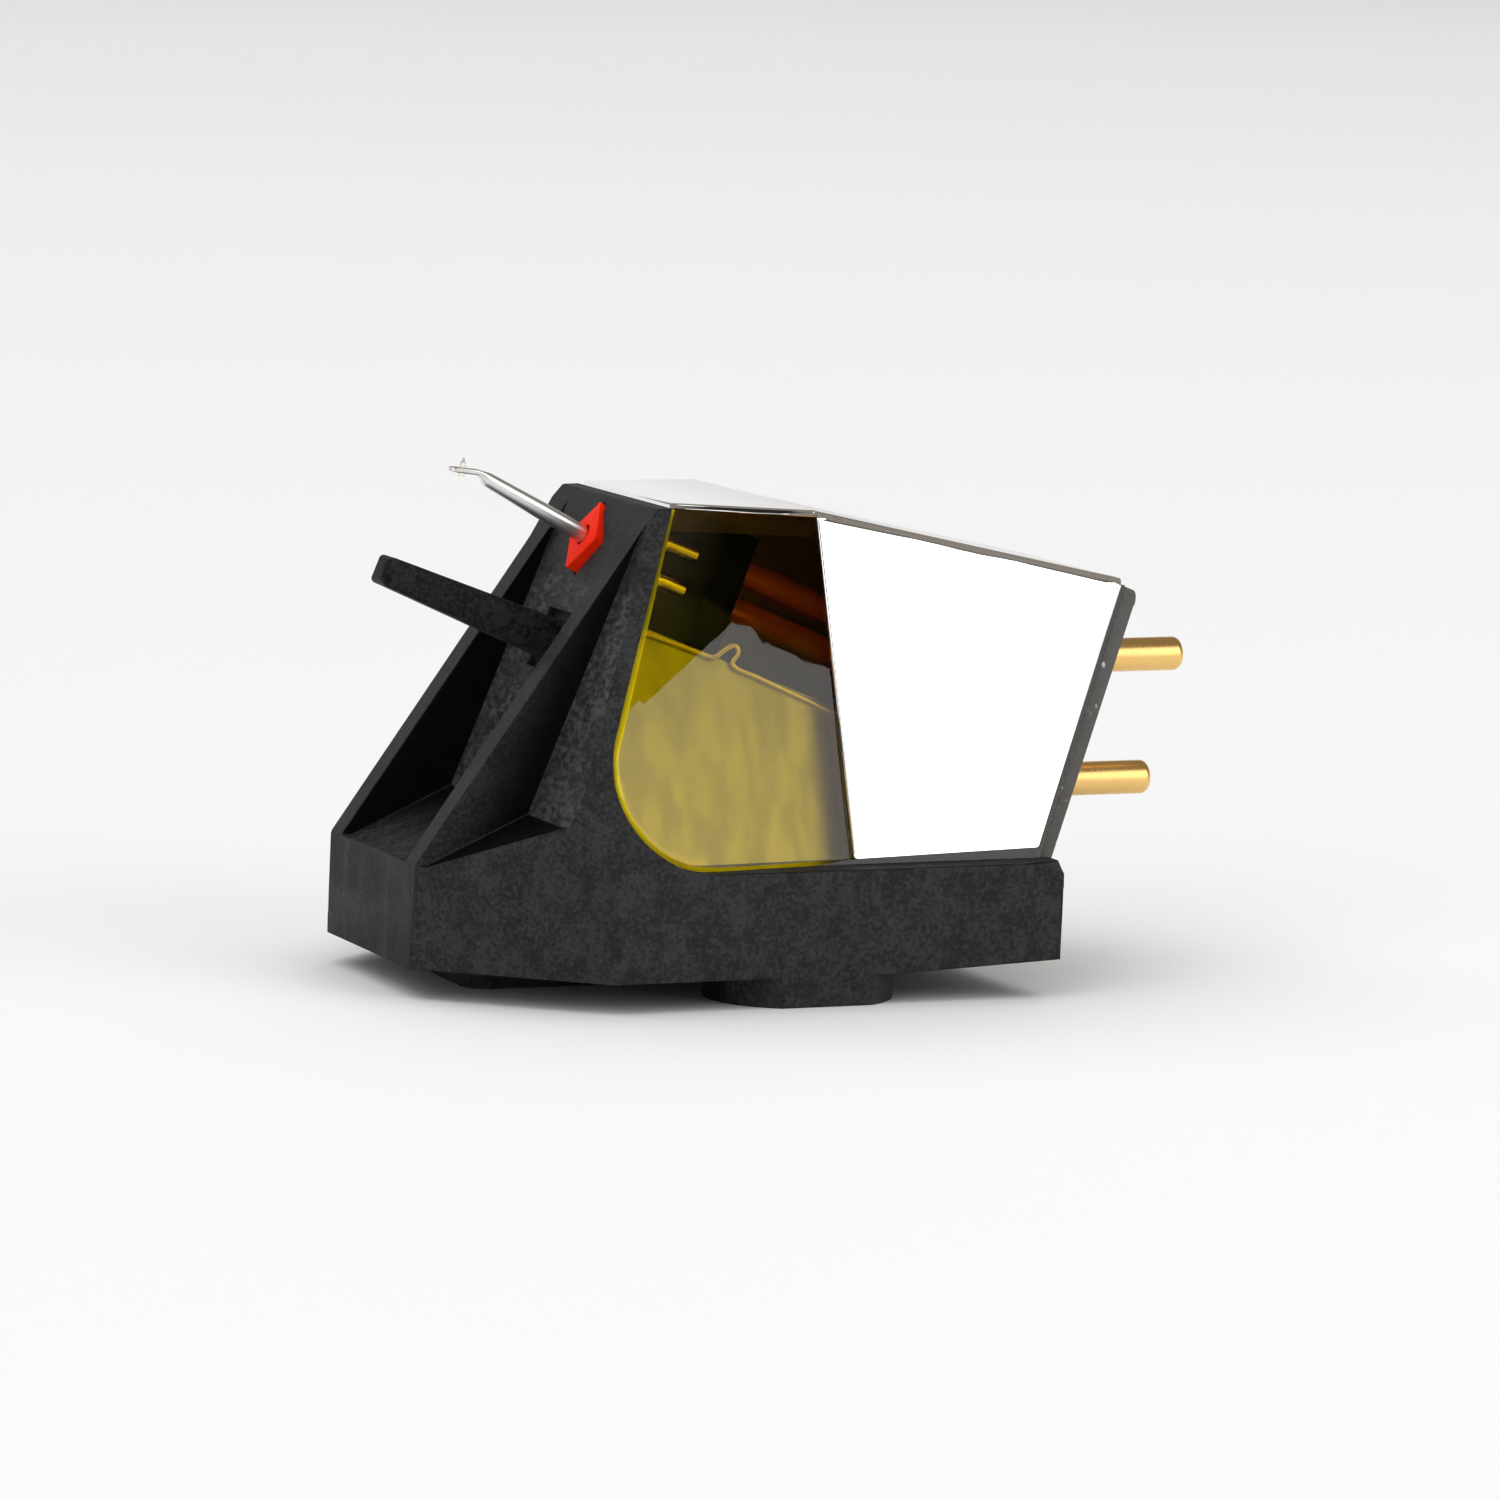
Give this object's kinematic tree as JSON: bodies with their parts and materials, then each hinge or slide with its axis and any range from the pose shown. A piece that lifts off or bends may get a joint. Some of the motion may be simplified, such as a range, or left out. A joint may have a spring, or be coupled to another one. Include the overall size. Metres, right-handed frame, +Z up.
{
  "type": "moving-coil phono cartridge",
  "caption": "Phono cartridge lying on its mounting pads: black ribbed body, clear amber cap, folded bright metal trim, sprung cantilever with diamond tip, contact pins at the rear.",
  "frame": {"origin": "midpoint between the two rear fixing holes, on the plane of the mounting pads", "axes": "+Z up, away from the headshell, with the cartridge on its pads; +X to the contact pins, so the stylus is at -X; Y across the width"},
  "size_m": [0.0263, 0.0178, 0.0164],
  "materials": {
    "black_plastic": "matte, glass-filled",
    "amber_plastic": "clear, polished",
    "bright_sheet": "mirror polished",
    "board": "matte laminate",
    "gold_plate": "satin gold plate",
    "red_rubber": "smooth",
    "aluminium_tube": "drawn, bright",
    "diamond": "polished",
    "nickel": "satin nickel plate",
    "soft_iron": "blackened",
    "copper_sleeve": "glossy enamel",
    "fine_gold_wire": "bright",
    "steel_wire": "bright"
  },
  "bodies": {
    "housing": {"body": "black_plastic", "cover": "amber_plastic", "trim_sheet": "bright_sheet", "terminal_board": "board", "front_yoke": "soft_iron", "pole_studs": "fine_gold_wire", "magnet": "nickel", "rear_yoke": "soft_iron", "suspension_wire": "steel_wire", "fine_wires": "fine_gold_wire", "guard_finger": "black_plastic", "pin_upper_left": "gold_plate", "lead_upper_left": "copper_sleeve", "pin_upper_right": "gold_plate", "lead_upper_right": "copper_sleeve", "pin_lower_left": "gold_plate", "lead_lower_left": "copper_sleeve", "pin_lower_right": "gold_plate", "lead_lower_right": "copper_sleeve"},
    "damper_block": {"damper": "red_rubber"},
    "moving_system": {"cantilever": "aluminium_tube", "stylus_tip": "diamond", "coil_former": "soft_iron", "coil_left": "copper_sleeve", "coil_right": "copper_sleeve"}
  },
  "joints": [
    {"name": "cantilever_vertical", "type": "hinge", "parent": "housing", "child": "damper_block", "pos_m": [-0.00475, 0, 0.01377], "axis": [0, 1, 0], "range_deg": [-3, 2], "stiffness_Nm_per_rad": 0.003},
    {"name": "cantilever_lateral", "type": "hinge", "parent": "damper_block", "child": "moving_system", "pos_m": [-0.00475, 0, 0.01377], "axis": [0.4863, 0, 0.8738], "range_deg": [-2.5, 2.5], "stiffness_Nm_per_rad": 0.003}
  ]
}
